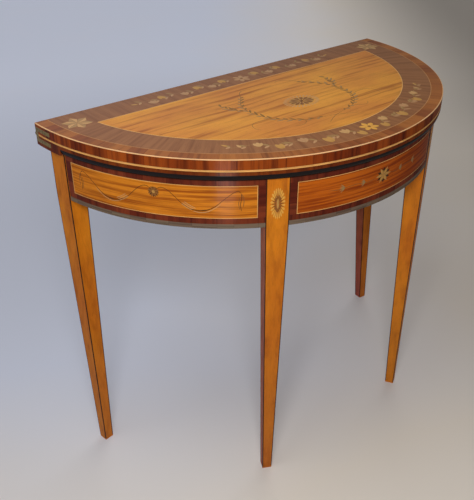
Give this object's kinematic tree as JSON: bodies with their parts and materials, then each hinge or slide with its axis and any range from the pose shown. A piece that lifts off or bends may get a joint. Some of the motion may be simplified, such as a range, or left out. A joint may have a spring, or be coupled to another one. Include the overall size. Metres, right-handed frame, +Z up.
{
  "type": "demilune fold-over table",
  "caption": "half-round wooden side table with marquetry top and frieze, square tapering legs, a hinged leaf that folds back and rear legs that swing out to carry it",
  "frame": {"origin": "on the floor, under the middle of the closed table's box", "axes": "+X to the table's right seen from the front, +Y to its straight back, +Z up"},
  "size_m": [0.914, 0.4604, 0.746],
  "materials": {
    "satinwood": "polished satinwood",
    "flower_band": "polished purple-brown veneer with marquetry",
    "crossband": "polished red-brown crossbanding",
    "pale_line": "polished boxwood stringing",
    "ebonised": "ebonised, polished",
    "lower_band": "grey-brown polished edge band",
    "carcase": "plain sawn and planed wood",
    "inside": "polished mahogany veneer",
    "brass": "dull brass",
    "steel": "plain steel"
  },
  "bodies": {
    "frame": {"frieze_panel_left": "satinwood", "frieze_panel_centre": "satinwood", "frieze_panel_right": "satinwood", "front_leg_left": "satinwood", "front_leg_right": "satinwood", "lower_edge_band": "crossband", "frieze_crossband_left": "crossband", "frieze_crossband_centre": "crossband", "frieze_crossband_right": "crossband", "lower_edge_line": "pale_line", "frieze_line_left": "pale_line", "frieze_line_centre": "pale_line", "frieze_line_right": "pale_line", "edge_moulding": "ebonised", "front_leg_lines_left": "ebonised", "front_leg_lines_right": "ebonised", "frieze_lower_band_left": "lower_band", "frieze_lower_band_centre": "lower_band", "frieze_lower_band_right": "lower_band", "lower_leaf_core": "carcase", "back_rail": "carcase", "medial_rail": "carcase", "knuckle_block": "carcase", "glue_blocks": "carcase", "frieze_core_left": "carcase", "frieze_core_centre": "carcase", "frieze_core_right": "carcase", "lower_inside_veneer": "inside", "hinge_lower_plate_left": "brass", "hinge_lower_plate_right": "brass", "hinge_pin_left": "brass", "hinge_pin_right": "brass", "hinge_lower_screws": "brass", "leaf_screws": "steel", "gate_pin_left": "steel", "gate_pin_right": "steel"},
    "flap": {"top_field": "satinwood", "top_flower_band": "flower_band", "top_crossband": "crossband", "upper_edge_band": "crossband", "top_field_line": "pale_line", "top_band_line": "pale_line", "top_edge_line": "pale_line", "upper_lower_edge_line": "pale_line", "upper_leaf_core": "carcase", "upper_inside_veneer": "inside", "hinge_upper_plate_left": "brass", "hinge_upper_plate_right": "brass", "hinge_upper_screws": "brass"},
    "gate_left": {"fly_rail_left": "carcase", "back_leg_left": "satinwood", "back_leg_lines_left": "ebonised"},
    "gate_right": {"fly_rail_right": "carcase", "back_leg_right": "satinwood", "back_leg_lines_right": "ebonised"}
  },
  "joints": [
    {"name": "flap_hinge", "type": "hinge", "parent": "frame", "child": "flap", "pos_m": [0, 0.22703, 0.7252], "axis": [-1, 0, 0], "range_deg": [0, 180]},
    {"name": "gate_left_hinge", "type": "hinge", "parent": "frame", "child": "gate_left", "pos_m": [-0.125, 0.17079, 0.6648], "axis": [0, 0, -1], "range_deg": [0, 90]},
    {"name": "gate_right_hinge", "type": "hinge", "parent": "frame", "child": "gate_right", "pos_m": [0.125, 0.17079, 0.6648], "axis": [0, 0, 1], "range_deg": [0, 90]}
  ]
}
